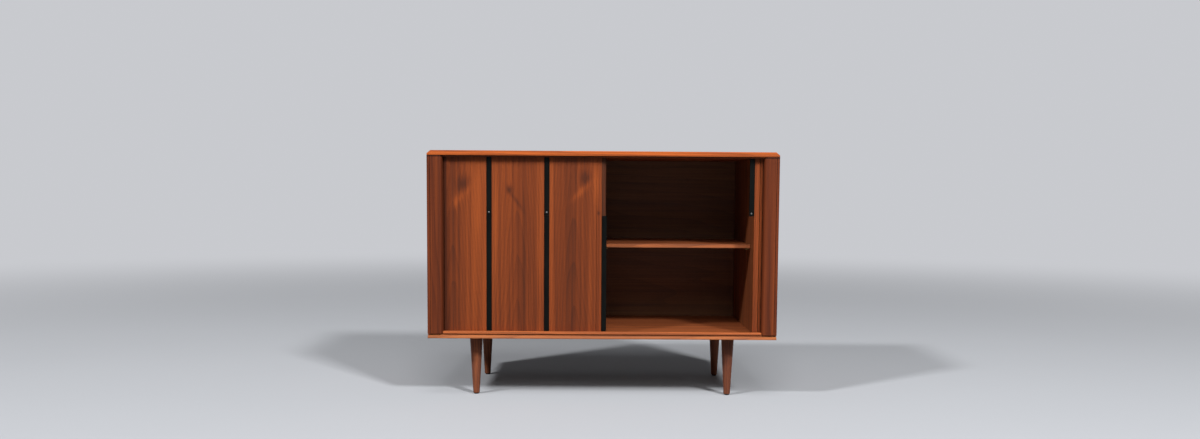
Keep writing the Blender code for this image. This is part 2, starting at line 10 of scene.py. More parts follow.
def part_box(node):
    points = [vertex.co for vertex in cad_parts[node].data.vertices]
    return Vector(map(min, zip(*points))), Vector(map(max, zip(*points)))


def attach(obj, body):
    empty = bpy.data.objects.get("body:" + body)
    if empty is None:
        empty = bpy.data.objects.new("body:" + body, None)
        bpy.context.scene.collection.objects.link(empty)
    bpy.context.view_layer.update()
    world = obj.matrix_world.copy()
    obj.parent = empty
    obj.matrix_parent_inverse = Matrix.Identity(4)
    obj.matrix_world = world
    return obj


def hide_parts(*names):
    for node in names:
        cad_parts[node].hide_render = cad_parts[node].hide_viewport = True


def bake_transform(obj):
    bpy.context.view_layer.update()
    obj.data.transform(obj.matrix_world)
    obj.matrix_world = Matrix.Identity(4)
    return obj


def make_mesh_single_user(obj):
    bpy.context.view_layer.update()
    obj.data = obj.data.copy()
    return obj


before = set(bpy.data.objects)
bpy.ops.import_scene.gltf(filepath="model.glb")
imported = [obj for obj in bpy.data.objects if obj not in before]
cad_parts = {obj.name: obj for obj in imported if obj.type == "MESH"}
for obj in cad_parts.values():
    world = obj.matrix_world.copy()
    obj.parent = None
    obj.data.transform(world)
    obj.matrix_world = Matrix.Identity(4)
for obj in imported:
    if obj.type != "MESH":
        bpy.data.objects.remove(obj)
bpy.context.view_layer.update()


# Camera. It stands straight in front of the credenza, a little lower than its top, and looks slightly
# down. Its lens and a small upward shift give the photograph's wide, shallow frame.
SENSOR_WIDTH = 36
PICTURE_WIDTH = 1200
FOCAL_PIXELS = 1051
PRINCIPAL_ROW = 275
MIDDLE_ROW = 219.5
CAMERA_PLACE = Vector((-0.027, -3.228, 0.599))
CAMERA_TURN = math.radians(0.37)
CAMERA_PITCH = math.radians(4.6)
CAMERA_ROLL = math.radians(0.38)


def placed(name, data):
    """A new object of the scene that holds this mesh, lamp or camera."""
    made = bpy.data.objects.new(name, data)
    bpy.context.scene.collection.objects.link(made)
    return made


camera = placed("camera", bpy.data.cameras.new("camera"))
camera.data.sensor_width = SENSOR_WIDTH
camera.data.lens = SENSOR_WIDTH * FOCAL_PIXELS / PICTURE_WIDTH
camera.data.shift_y = (PRINCIPAL_ROW - MIDDLE_ROW) / PICTURE_WIDTH
facing = Matrix.Rotation(-CAMERA_TURN, 4, "Z") @ Matrix.Rotation(math.pi / 2 - CAMERA_PITCH, 4, "X")
facing = facing @ Matrix.Rotation(CAMERA_ROLL, 4, "Z")
camera.matrix_world = Matrix.Translation(CAMERA_PLACE) @ facing
bpy.context.scene.camera = camera
bpy.context.scene.view_settings.view_transform = "Standard"


# Studio floor and light. The floor is a plain pale sheet that meets a background of its own tone. Two
# lamps hang high in front, one on each side, with two wide weak ones between them, and the room gives a
# weak light from everywhere. Each lamp is a place, a size and a power.
FLOOR_HALF = 14.0
FLOOR_COLOUR = (0.517, 0.533, 0.564)
FLOOR_BOUNCE = (0.20, 0.205, 0.215)
FLOOR_ROUGHNESS = 0.75
FLOOR_GLOSS = 0.15
FLOOR_CLOUDS = ((1.4, 1.4, 1.4), 3)
CLOUD_SHARES = (0.985, 1.015)
FADE_START = 1.2
FADE_END = 7.5
LAMPS = (
    ((-7.3, -6.4, 8.0), 1.1, 860),
    ((3.95, -6.4, 5.9), 1.1, 650),
    ((0.0, -8.0, 6.0), 4.0, 205),
    ((0.0, -3.2, 6.5), 2.0, 80),
)
LAMP_AIM = Vector((0, 0, 0.4))
ROOM_LIGHT = 0.04
BACKGROUND = (0.58, 0.59, 0.62, 1)
WHITE = (1, 1, 1)


def fill(tree, node, sockets):
    """Fills a node's sockets with values or with other nodes' outputs."""
    for place, value in sockets.items():
        if isinstance(value, bpy.types.NodeSocket):
            tree.links.new(value, node.inputs[place])
        else:
            node.inputs[place].default_value = value
    return node


def add(tree, kind, sockets=None, **settings):
    """Adds a node, sets its options and fills its sockets."""
    node = tree.nodes.new(kind)
    for name, value in settings.items():
        setattr(node, name, value)
    return fill(tree, node, sockets or {})


def output(tree, kind, sockets=None, **settings):
    """Adds a node and gives back its first output."""
    return add(tree, kind, sockets, **settings).outputs[0]


def maths(tree, operation, first, second=0.0, third=0.0):
    return output(tree, "ShaderNodeMath", {0: first, 1: second, 2: third}, operation=operation)


def times(tree, first, second):
    return maths(tree, "MULTIPLY", first, second)


def with_shares(tree, total, *parts):
    """The total with each part's value, times that part's share, added to it."""
    for value, share in parts:
        total = maths(tree, "MULTIPLY_ADD", value, share, total)
    return total


def vectors(tree, operation, first, second):
    return output(tree, "ShaderNodeVectorMath", {0: first, 1: second}, operation=operation)


def scaled(tree, vector, share):
    return output(tree, "ShaderNodeVectorMath", {0: vector, "Scale": share}, operation="SCALE")


def length(tree, vector):
    return add(tree, "ShaderNodeVectorMath", {0: vector}, operation="LENGTH").outputs["Value"]


def mixed(tree, share, low, high):
    return add(tree, "ShaderNodeMix", {0: share, 4: low, 5: high}, data_type="VECTOR").outputs[1]


def between(tree, value, low, high, to_low=0.0, to_high=1.0, **settings):
    sockets = {"Value": value, "From Min": low, "From Max": high, "To Min": to_low, "To Max": to_high}
    return output(tree, "ShaderNodeMapRange", sockets, **settings)


def noise(tree, place, stretch, detail=2.0, roughness=0.5, distortion=0.0):
    """Noise that is finer along an axis, the larger that axis's number in stretch is."""
    sockets = {
        "Vector": vectors(tree, "MULTIPLY", place, stretch),
        "Scale": 1.0,
        "Detail": detail,
        "Roughness": roughness,
        "Distortion": distortion,
    }
    return output(tree, "ShaderNodeTexNoise", sockets)


def own_place(tree):
    return add(tree, "ShaderNodeTexCoord").outputs["Object"]


def seen_directly(tree):
    """1 for the camera's rays and for those of reflections, otherwise 0."""
    path = add(tree, "ShaderNodeLightPath").outputs
    return maths(tree, "MAXIMUM", path["Is Camera Ray"], path["Is Glossy Ray"])


def blank(name):
    """A new material and its tree."""
    material = bpy.data.materials.new(name)
    material.use_nodes = True
    return material, material.node_tree


def matt_floor():
    """Pale matt concrete that fades into the background far away, as the camera and reflections see it.

    It throws less light back than it shows, as a floor does that is only lit near the credenza.
    """
    material, tree = blank("floor")
    place = own_place(tree)
    tone = between(tree, noise(tree, place, *FLOOR_CLOUDS), 0.0, 1.0, *CLOUD_SHARES)
    seen = seen_directly(tree)
    colour = scaled(tree, mixed(tree, seen, FLOOR_BOUNCE, FLOOR_COLOUR), tone)
    sockets = {"Base Color": colour, "Roughness": FLOOR_ROUGHNESS, "Specular IOR Level": FLOOR_GLOSS}
    shader = fill(tree, tree.nodes["Principled BSDF"], sockets)
    haze = between(tree, length(tree, place), FADE_START, FADE_END, interpolation_type="SMOOTHERSTEP")
    glow = output(tree, "ShaderNodeEmission", {"Color": BACKGROUND})
    sockets = {0: times(tree, haze, seen), 1: shader.outputs[0], 2: glow}
    faded = output(tree, "ShaderNodeMixShader", sockets)
    fill(tree, tree.nodes["Material Output"], {"Surface": faded})
    return material


def mesh_of(shape, name, material):
    """Turns a finished bmesh into a mesh of one material."""
    mesh = bpy.data.meshes.new(name)
    shape.to_mesh(mesh)
    shape.free()
    mesh.materials.append(material)
    return mesh


sheet = bmesh.new()
bmesh.ops.create_grid(sheet, x_segments=1, y_segments=1, size=FLOOR_HALF)
placed("floor", mesh_of(sheet, "floor", matt_floor()))
for number, (place, size, power) in enumerate(LAMPS, 1):
    light = bpy.data.lights.new(f"lamp_{number}", "AREA")
    light.energy = power
    light.size = size
    lamp = placed(light.name, light)
    lamp.location = place
    lamp.rotation_euler = (LAMP_AIM - Vector(place)).to_track_quat("-Z", "Y").to_euler()

# The room is a weak even light, seen as the pale background by the camera and in reflections.
room = bpy.data.worlds.new("room")
bpy.context.scene.world = room
room.use_nodes = True
seen = seen_directly(room.node_tree)
colour = mixed(room.node_tree, seen, WHITE, BACKGROUND[:3])
strength = between(room.node_tree, seen, 0.0, 1.0, ROOM_LIGHT, 1.0)
fill(room.node_tree, room.node_tree.nodes["Background"], {"Color": colour, "Strength": strength})


# Bottom board. One wide walnut board with its grain from side to side. Its front edge is bevelled under
# a small step, its top face carries the doors' track, and its edges are rubbed over by hand.
JOIN_DISTANCE = 2e-6
FLAT_ANGLE = math.radians(1)
EDGE_ANGLE = math.radians(28)
HAND_EASING = 0.0007
EASING_STEPS = 3
CLOSE = 0.00027
ALONG_X = (0, math.radians(-90), 0)
ALONG_Z = (0, 0, 0)

# The wood's colours from dark to light, and each layer of its figure as a noise: its stretch, detail,
# roughness and distortion. The grain runs along Z in the space that the noise reads.
WALNUT_STOPS = (
    (0.0, (0.078, 0.0195, 0.0082, 1)),
    (0.5, (0.165, 0.0355, 0.0102, 1)),
    (1.0, (0.300, 0.066, 0.0154, 1)),
)
BAND = ((38, 38, 0.8), 2, 0.55, 0.2)
STREAK = ((150, 150, 1.2), 3, 0.65, 0.1)
FIBRE = ((520, 520, 6), 2, 0.6)
PORE = ((1500, 1500, 60), 1)
WAVER = ((7, 7, 1.1), 3, 0.55)
FRAY = ((160, 160, 160), 2)
BAND_SHARE = 0.9
STREAK_SHARE = 1.25
FIBRE_SHARE = 0.45
PORE_SHARE = 0.72
FIBRE_RELIEF_SHARE = 0.4
NOISE_SPAN = (0.3, 0.7)
PORE_SPAN = (0.60, 0.72)
WALNUT_ROUGHNESS = (0.52, 0.40)
WALNUT_GLOSS = 0.13
WALNUT_RELIEF = (0.16, 0.0003)
MIDDLE_TONE = 0.5
RING_SHARE = 0.28
RING_WIDTH = 0.011
RING_WAVER = 0.05
LATE_WOOD = 2.2
LATE_SHARE = 1 / 3
LOG_TAPER = 0.035
MASK_BLUR = 0.0003
FRAYING = 0.0004
BOTTOM_HEART = (0.12, 0.05, -0.10)
BOTTOM_TINT = (1.4, 1.75, 2.1)
FRONT_LIPPING = (-0.2325, "Y", (1.9, 2.8, 3.5))
# The underside below is tinted darker and less red, which cuts the reddish light it throws onto the floor
# beneath the case.
DARKER_UNDERSIDE = (0.1743, "Z", (0.5, 0.8, 1.0))


def combined(tree, **axes):
    return output(tree, "ShaderNodeCombineXYZ", axes)


def parted(tree, vector):
    return add(tree, "ShaderNodeSeparateXYZ", {"Vector": vector}).outputs


def colour_ramp(tree, value, stops):
    ramp = add(tree, "ShaderNodeValToRGB", {"Fac": value})
    steps = ramp.color_ramp.elements
    while len(steps) < len(stops):
        steps.new(1.0)
    for step, (place, colour) in zip(steps, stops):
        step.position = place
        step.color = colour
    return ramp.outputs["Color"]


def surfaced(material, colour, roughness, gloss, height, relief, metallic=0.0):
    """Gives the shader these values and a relief of this strength and depth."""
    tree = material.node_tree
    strength, depth = relief
    bump = output(tree, "ShaderNodeBump", {"Strength": strength, "Distance": depth, "Height": height})
    sockets = {
        "Base Color": colour,
        "Roughness": roughness,
        "Specular IOR Level": gloss,
        "Metallic": metallic,
        "Normal": bump,
    }
    fill(tree, tree.nodes["Principled BSDF"], sockets)
    return material


def walnut_finish(material, place, figure, tint=WHITE, contrast=1.0):
    """Oiled walnut over a broad figure from 0 to 1: bands, streaks, fibres, pores, gloss and bump."""
    tree = material.node_tree
    fibre = noise(tree, place, *FIBRE)
    shade = maths(tree, "SUBTRACT", figure, (BAND_SHARE + STREAK_SHARE + FIBRE_SHARE) / 2)
    band = (noise(tree, place, *BAND), BAND_SHARE)
    streak = (noise(tree, place, *STREAK), STREAK_SHARE)
    shade = with_shares(tree, shade, band, streak, (fibre, FIBRE_SHARE))
    shade = with_shares(tree, (1 - contrast) / 2, (shade, contrast))
    pores = between(tree, noise(tree, place, *PORE), *PORE_SPAN, 1.0, PORE_SHARE)
    wood = vectors(tree, "MULTIPLY", colour_ramp(tree, shade, WALNUT_STOPS), tint)
    roughness = between(tree, fibre, *NOISE_SPAN, *WALNUT_ROUGHNESS)
    height = with_shares(tree, pores, (fibre, FIBRE_RELIEF_SHARE))
    return surfaced(material, scaled(tree, wood, pores), roughness, WALNUT_GLOSS, height, WALNUT_RELIEF)


def spread(tree, place, layer, values, span=NOISE_SPAN):
    """A layer of noise, whose span is spread over these two values."""
    return between(tree, noise(tree, place, *layer), *span, *values)


def late_wood(tree, radius, ring_width):
    """The dark late wood of the rings, from 0 to 1 at this distance from the heart."""
    ring = maths(tree, "FRACT", maths(tree, "DIVIDE", radius, ring_width))
    return maths(tree, "POWER", ring, LATE_WOOD)


def walnut_board(name, grain, heart, tint=WHITE, masks=(), ring_width=RING_WIDTH, contrast=1.0):
    """Walnut cut from a log whose heart runs along the grain, set off from the board by heart metres.

    The rings of a log that narrows upwards are cut by the board's faces, which draws the long arches.
    Each mask is a place, an axis and the tint of the wood that lies below that place on that axis.
    """
    material, tree = blank(f"walnut_{name}")
    own = own_place(tree)
    turned = output(tree, "ShaderNodeMapping", {"Vector": own, "Location": heart, "Rotation": grain})
    parts = parted(tree, turned)
    radius = length(tree, combined(tree, X=parts["X"], Y=parts["Y"]))
    radius = with_shares(tree, radius, (parts["Z"], LOG_TAPER), (noise(tree, turned, *WAVER), RING_WAVER))
    late = late_wood(tree, radius, ring_width)
    figure = with_shares(tree, MIDDLE_TONE + RING_SHARE * LATE_SHARE, (late, -RING_SHARE))
    frayed = spread(tree, own, FRAY, (-FRAYING, FRAYING))
    place = parted(tree, vectors(tree, "ADD", own, frayed))
    for line, axis, below in masks:
        past = between(tree, place[axis], line - MASK_BLUR, line + MASK_BLUR)
        tint = mixed(tree, past, below, tint)
    return walnut_finish(material, turned, figure, tint, contrast)


def own_mesh(node, material, closed=(0, 0, 0)):
    """A copy of a CAD solid's mesh with its loose triangles joined and its flat faces whole.

    closed is how far its ends are drawn out along each axis, up to the pieces that it stands against.
    """
    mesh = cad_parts[node].data.copy()
    shape = bmesh.new()
    shape.from_mesh(mesh)
    bmesh.ops.remove_doubles(shape, verts=shape.verts, dist=JOIN_DISTANCE)
    low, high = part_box(node)
    for vertex in shape.verts:
        for axis, reach in enumerate(closed):
            if vertex.co[axis] < low[axis] + JOIN_DISTANCE:
                vertex.co[axis] -= reach
            elif vertex.co[axis] > high[axis] - JOIN_DISTANCE:
                vertex.co[axis] += reach
    bmesh.ops.dissolve_limit(shape, angle_limit=FLAT_ANGLE, verts=shape.verts, edges=shape.edges)
    shape.to_mesh(mesh)
    shape.free()
    mesh.materials.clear()
    mesh.materials.append(material)
    return mesh


def shown(name, mesh):
    """An object at the origin, with smooth faces between its sharp edges."""
    mesh.name = name
    mesh.polygons.foreach_set("use_smooth", [True] * len(mesh.polygons))
    mesh.set_sharp_from_angle(angle=EDGE_ANGLE)
    return placed(name, mesh)


def eased(made, width=HAND_EASING):
    """Rounds the piece's edges as sandpaper does, and keeps the result as one plain mesh."""
    bevel = made.modifiers.new("eased edges", "BEVEL")
    bevel.width = width
    bevel.segments = EASING_STEPS
    bevel.limit_method = "ANGLE"
    bevel.angle_limit = EDGE_ANGLE
    bevel.harden_normals = True
    bevel.use_clamp_overlap = True
    graph = bpy.context.evaluated_depsgraph_get()
    finished = bpy.data.meshes.new_from_object(made.evaluated_get(graph), depsgraph=graph)
    made.modifiers.clear()
    made.data = finished
    finished.name = made.name
    return made


def put(made, body, slot, *nodes):
    """Joins the finished piece to its body, in place of the CAD solids that it stands for."""
    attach(made, body)
    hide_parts(*nodes)
    return made


def dressed(node, material, slot="walnut", body="case", easing=HAND_EASING, closed=(0, 0, 0)):
    made = eased(shown(f"fine_{node}", own_mesh(node, material, closed)), easing)
    return put(made, body, slot, node)


wood = walnut_board("bottom", ALONG_X, BOTTOM_HEART, BOTTOM_TINT, (FRONT_LIPPING, DARKER_UNDERSIDE))
dressed("bottom_board", wood)


# Side boards. Solid walnut with upright grain. They stand on the bottom board and carry the top, and
# their narrow front edges show outside the stiles.
# The first value below is a dark tint with two jobs. It is the dark joint line between each side board and
# its stile. It is also painted shadow of the top's overhang, laid on the side boards and stiles above the
# third value's level. On the right side board it also covers the whole inner part, in the pocket.
JOINT_LINE_AND_TOP_SHADOW = (0.2, 0.18, 0.22)
SIDE_TINT = (0.72, 0.72, 0.85)
TOP_SHADOW_LEVEL = 0.6915
RIGHT_JOINT = (0.4930, "X", JOINT_LINE_AND_TOP_SHADOW)
for side, heart, masks in (
    ("left", (0.62, 0.04, 0.30), ()),
    ("right", (-0.41, -0.06, 0.55), (RIGHT_JOINT,)),
):
    masks = ((TOP_SHADOW_LEVEL, "Z", SIDE_TINT), *masks)
    wood = walnut_board(f"{side}_side", ALONG_Z, heart, JOINT_LINE_AND_TOP_SHADOW, masks)
    dressed(f"{side}_side", wood, closed=(0, 0, CLOSE))


# Back panel. A thin sheet of stained walnut veneer board, set in from behind against the boards' rear
# edges and screwed to the sides. Only its dark inner face shows through the open door.
BACK_HEART = (0.2, 0.9, 0.1)
BACK_TINT = (0.95, 1.95, 3.3)
BACK_CONTRAST_SHARE = 0.5
wood = walnut_board("back", ALONG_X, BACK_HEART, BACK_TINT, contrast=BACK_CONTRAST_SHARE)
dressed("back_panel", wood, "dark_walnut", closed=(CLOSE, 0, CLOSE))


# Back screws. Four steel screws with low round heads and a straight slot, driven through the back panel
# into the side boards. Each one is a point of a tree that turns the screw to face the room behind it.
FACING_BACK = (math.radians(-90), 0, 0)
FACING_FRONT = (math.radians(90), 0, 0)
FACING_RIGHT = (0, math.radians(90), 0)
HEAD_SEGMENTS = 48
HEAD_RINGS = 24
SHANK_SIDES = 32
SLOT_SHARE = 0.26
CUTTER_SHARE = 3.0
METAL_WEAR = ((900, 900, 900), 3, 0.6)
TURNING_MARKS = ((300, 300, 5200), 2)
MARKS_SPAN = (0.2, 0.8)
WEAR_SHARES = (0.8, 1.1)
MARKS_ROUGHNESS = (-0.06, 0.1)
METAL_GLOSS = 0.5
METAL_RELIEF = (0.1, 0.0001)
STEEL_COLOUR = (0.15, 0.155, 0.155)
STEEL_ROUGHNESS = 0.55
BACK_SCREW_SEAT = 0.2385
BACK_SCREW_SEED = 4

# A screw's sizes are the radius and height of its head and the radius and length of its shank.
BACK_SCREW_SIZES = (0.003, 0.0012, 0.0015, 0.018)


def brushed_metal(name, colour, roughness):
    """Bare metal with fine turning marks and a little wear."""
    material, tree = blank(name)
    own = own_place(tree)
    worn = scaled(tree, colour, spread(tree, own, METAL_WEAR, WEAR_SHARES))
    marks = noise(tree, own, *TURNING_MARKS)
    low, high = MARKS_ROUGHNESS
    rough = between(tree, marks, *MARKS_SPAN, roughness + low, roughness + high)
    return surfaced(material, worn, rough, METAL_GLOSS, marks, METAL_RELIEF, metallic=1.0)


def group(name, **labels):
    """An empty geometry tree with these inputs of each kind. Returns it with its input sockets."""
    tree = bpy.data.node_groups.new(name, "GeometryNodeTree")
    tree.interface.new_socket("Geometry", in_out="INPUT", socket_type="NodeSocketGeometry")
    tree.interface.new_socket("Geometry", in_out="OUTPUT", socket_type="NodeSocketGeometry")
    for kind, names in labels.items():
        for label in names.split(", "):
            tree.interface.new_socket(label, in_out="INPUT", socket_type=f"NodeSocket{kind}")
    return tree, add(tree, "NodeGroupInput").outputs


def grown(name, tree, places, edges=(), **values):
    """Runs a geometry tree on these points and edges, and returns what it makes as one plain object."""
    guide = bpy.data.meshes.new(name)
    guide.from_pydata(places, edges, [])
    seed = placed(name, guide)
    modifier = seed.modifiers.new("tree", "NODES")
    modifier.node_group = tree
    for item in tree.interface.items_tree:
        label = item.name.lower().replace(" ", "_")
        if item.in_out == "INPUT" and label in values:
            modifier[item.identifier] = values[label]
    graph = bpy.context.evaluated_depsgraph_get()
    mesh = bpy.data.meshes.new_from_object(
        seed.evaluated_get(graph), preserve_all_data_layers=True, depsgraph=graph
    )
    bpy.data.objects.remove(seed)
    return shown(name, mesh)


def joined(tree, *parts):
    node = add(tree, "GeometryNodeJoinGeometry")
    for part in parts:
        tree.links.new(part, node.inputs[0])
    return node.outputs[0]


def moved(tree, geometry, **axes):
    """The geometry, moved along the named axes."""
    sockets = {"Geometry": geometry, "Translation": combined(tree, **axes)}
    return output(tree, "GeometryNodeTransform", sockets)


def screw_head(tree, given):
    """A low dome, open in a straight slot and cut off flat underneath."""
    radius, height = given["Head Radius"], given["Head Height"]
    sockets = {"Segments": HEAD_SEGMENTS, "Rings": HEAD_RINGS, "Radius": radius}
    ball = output(tree, "GeometryNodeMeshUVSphere", sockets)
    low = combined(tree, X=1.0, Y=1.0, Z=maths(tree, "DIVIDE", height, radius))
    dome = output(tree, "GeometryNodeTransform", {"Geometry": ball, "Scale": low})
    wide = times(tree, radius, CUTTER_SHARE)
    slot_size = combined(tree, X=wide, Y=given["Slot Width"], Z=height)
    slot = moved(tree, output(tree, "GeometryNodeMeshCube", {"Size": slot_size}), Z=height)
    under_size = combined(tree, X=wide, Y=wide, Z=radius)
    under = output(tree, "GeometryNodeMeshCube", {"Size": under_size})
    under = moved(tree, under, Z=times(tree, radius, -0.5))
    head = add(tree, "GeometryNodeMeshBoolean", {"Mesh 1": dome}, operation="DIFFERENCE", solver="EXACT")
    for cutter in (slot, under):
        tree.links.new(cutter, head.inputs["Mesh 2"])
    return head.outputs["Mesh"]


def screw_tree():
    """Slotted round-head screws, one on each point of the seed, each driven home at its own angle."""
    tree, given = group(
        "slotted screws",
        Float="Head Radius, Head Height, Shank Radius, Shank Length, Slot Width",
        Vector="Facing",
        Int="Seed",
        Material="Material",
    )
    sockets = {"Vertices": SHANK_SIDES, "Radius": given["Shank Radius"], "Depth": given["Shank Length"]}
    shank = output(tree, "GeometryNodeMeshCylinder", sockets)
    shank = moved(tree, shank, Z=times(tree, given["Shank Length"], -0.5))
    screw = joined(tree, screw_head(tree, given), shank)
    facing = output(tree, "FunctionNodeEulerToRotation", {"Euler": given["Facing"]})
    sockets = {"Points": given["Geometry"], "Instance": screw, "Rotation": facing}
    standing = output(tree, "GeometryNodeInstanceOnPoints", sockets)
    sockets = {2: 0.0, 3: math.pi, "Seed": given["Seed"]}
    angle = add(tree, "FunctionNodeRandomValue", sockets, data_type="FLOAT").outputs[1]
    sockets = {"Instances": standing, "Rotation": combined(tree, Z=angle), "Local Space": True}
    driven = output(tree, "GeometryNodeRotateInstances", sockets)
    real = output(tree, "GeometryNodeRealizeInstances", {"Geometry": driven})
    sockets = {"Geometry": real, "Material": given["Material"]}
    add(tree, "NodeGroupOutput", {0: output(tree, "GeometryNodeSetMaterial", sockets)})
    return tree


SCREWS = screw_tree()
STEEL = brushed_metal("steel", STEEL_COLOUR, STEEL_ROUGHNESS)


def slotted_screws(name, places, facing, seed, radius, height, shank_radius, shank_length):
    return grown(
        name,
        SCREWS,
        places,
        head_radius=radius,
        head_height=height,
        shank_radius=shank_radius,
        shank_length=shank_length,
        slot_width=radius * SLOT_SHARE,
        facing=facing,
        seed=seed,
        material=STEEL,
    )


def screws(name, nodes, body, facing, seat, seed, *sizes):
    """One mesh of screws that stand where these CAD screws stand, their heads seated at this level."""
    places = [sum(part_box(node), Vector()) / 2 for node in nodes]
    for place in places:
        place[0 if facing == FACING_RIGHT else 1] = seat
    return put(slotted_screws(name, places, facing, seed, *sizes), body, "steel", *nodes)


nodes = [f"back_screw_{side}_{level}" for side in ("left", "right") for level in ("lower", "upper")]
screws("back_screws", nodes, "case", FACING_BACK, BACK_SCREW_SEAT, BACK_SCREW_SEED, *BACK_SCREW_SIZES)


# Partitions and centre divider. Thin upright walnut boards, housed between the case's floor and ceiling.
# The partitions hide the pockets that the open doors run into. The divider carries the shelf's left end.
PARTITION_EASING = 0.0004
# The right partition's tint is lighter than the others' as painted light, for the lamp light on the lit part
# of its inner face.
for node, heart, tint in (
    ("left_partition", (0.3, -0.05, 0.2), (0.7, 0.95, 1.2)),
    ("right_partition", (-0.55, 0.03, 0.1), (1.05, 1.4, 1.8)),
    ("centre_divider", (0.8, 0.04, 0.4), (0.7, 0.95, 1.2)),
):
    wood = walnut_board(node, ALONG_Z, heart, tint)
    dressed(node, wood, easing=PARTITION_EASING, closed=(0, CLOSE, CLOSE))


# Shelf pins. Four dull brass studs with a collar, pressed into the divider and the right partition.
BRASS_COLOUR = (0.24, 0.15, 0.055)
BRASS_ROUGHNESS = 0.45
PIN_EASING = 0.0002
BRASS = brushed_metal("brass", BRASS_COLOUR, BRASS_ROUGHNESS)
for side in ("left", "right"):
    for end in ("front", "rear"):
        dressed(f"shelf_pin_{side}_{end}", BRASS, "brass", easing=PIN_EASING)


# Shelf. A loose walnut board on four pins, its grain from side to side and its front edge lipped in the
# same wood and lightly rounded.
SHELF_HEART = (0.5, 0.02, -0.42)
SHELF_TINT = (1.2, 1.5, 1.8)
SHELF_LIP = (-0.1385, "Y", (2.1, 2.9, 3.6))
SHELF_EASING = 0.0005
wood = walnut_board("shelf", ALONG_X, SHELF_HEART, SHELF_TINT, (SHELF_LIP,))
dressed("shelf", wood, easing=SHELF_EASING)


# Stiles. Solid walnut posts in front of the door track, glued to the side boards. Their inner edges are
# rounded back so that the doors seem to slide out of the frame.
STILE_ROUNDING = 0.010
ROUNDING_STEPS = 20
STILE_TINT = (0.68, 0.68, 0.8)
LEFT_JOINT = (-0.4906, "X", JOINT_LINE_AND_TOP_SHADOW)
QUARTER_TURN = math.pi / 2


def quarter(across, level, size, start, steps):
    """Points of a quarter round of this size about a centre, from this angle on."""
    turns = [start + QUARTER_TURN * step / steps for step in range(steps + 1)]
    return [(across + size * math.cos(turn), level + size * math.sin(turn)) for turn in turns]


def stile(node, inner, material):
    """A post of the CAD stile's size with a finely rounded inner front edge. inner is its side: 1 or -1."""
    low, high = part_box(node)
    outer, edge = (low.x, high.x) if inner > 0 else (high.x, low.x)
    outline = [(outer, high.y), (outer, low.y)]
    rounding = quarter(-STILE_ROUNDING, STILE_ROUNDING, STILE_ROUNDING, -QUARTER_TURN, ROUNDING_STEPS)
    outline += [(edge + inner * across, low.y + deep) for across, deep in rounding]
    outline.append((edge, high.y))
    shape = bmesh.new()
    face = shape.faces.new([shape.verts.new((x, y, low.z)) for x, y in outline])
    raised = bmesh.ops.extrude_face_region(shape, geom=[face], use_keep_orig=True)
    top = [item for item in raised["geom"] if isinstance(item, bmesh.types.BMVert)]
    bmesh.ops.translate(shape, verts=top, vec=(0, 0, high.z - low.z))
    bmesh.ops.recalc_face_normals(shape, faces=shape.faces)
    name = f"rounded_{node}"
    return put(eased(shown(name, mesh_of(shape, name, material))), "case", "walnut", node)


for side, inner, heart, masks in (
    ("left", 1, (0.53, 0.31, 0.2), (LEFT_JOINT,)),
    ("right", -1, (-0.42, 0.33, 0.5), ()),
):
    # Each stile is painted dark above the level under the top, as painted shadow of the top's overhang.
    masks = ((TOP_SHADOW_LEVEL, "Z", STILE_TINT), *masks)
    wood = walnut_board(f"{side}_stile", ALONG_Z, heart, JOINT_LINE_AND_TOP_SHADOW, masks)
    stile(f"{side}_stile", inner, wood)


# Rails. Slim walnut strips between the stiles, above and below the doors. The lower one stands a little
# proud of the doors and catches the light, and its much lighter tint is painted light as well. The upper
# one lies in the top's shadow, and its dark tint is painted shadow.
RAIL_EASING = 0.0005
for node, heart, tint in (
    ("lower_rail", (0.1, 0.25, -0.16), (2.5, 3.1, 3.4)),
    ("upper_rail", (0.2, 0.28, -0.66), (0.4, 0.4, 0.5)),
):
    dressed(node, walnut_board(node, ALONG_X, heart, tint), easing=RAIL_EASING)


# Door veneer. All slats are faced from one flitch of walnut, each panel with the next leaf turned over, so
# the figure is mirrored from panel to panel. The wood reads a slat's place on the door and moves with it.
SLAT_PITCH = 0.015
PANEL_STEP = 11
PANEL_PITCH = PANEL_STEP * SLAT_PITCH
HALF_A_PANEL = 0.5
LEAF_SHIFT = 0.014
LEAF_DEPTH = 0.004
LEAF_WAVER = ((9, 9, 2.2), 3, 0.55, 0.4)
ARCH_WAVER = 0.030
SWAY = ((3, 3, 1.2), 1)
HEART_SWAY = 0.022
HEART_DEPTH = 0.030
HEART_SLOPE = 0.060
HEART_WIDTH = 0.036
HEART_SHARE = 0.34
HEART_TOP = 0.66
HEART_WHOLE = 0.36
HEART_TOP_SHARE = 0.35
ARCH_WIDTH = 0.0075
ARCH_SHARE = 0.20
KNOT_SHARE = 0.6
KNOT_REACH_SHARE = 0.8
KNOT_HEIGHT_SHARE = 0.8
BEND_SHARES = (0.6, 0.35)
CURLS = ((260, 260, 3), 2, 0.6)
CURLS_SPAN = (0.35, 0.65)
CURLS_SHARES = (0.35, 1.65)
# Beyond this distance from the middle the slats are painted dark, as painted shadow behind the stile.
STILE_SHADOW_LINE = 0.4512
STILE_SHADOW_BLUR = 0.0005
STILE_SHADOW_SHARE = 0.9

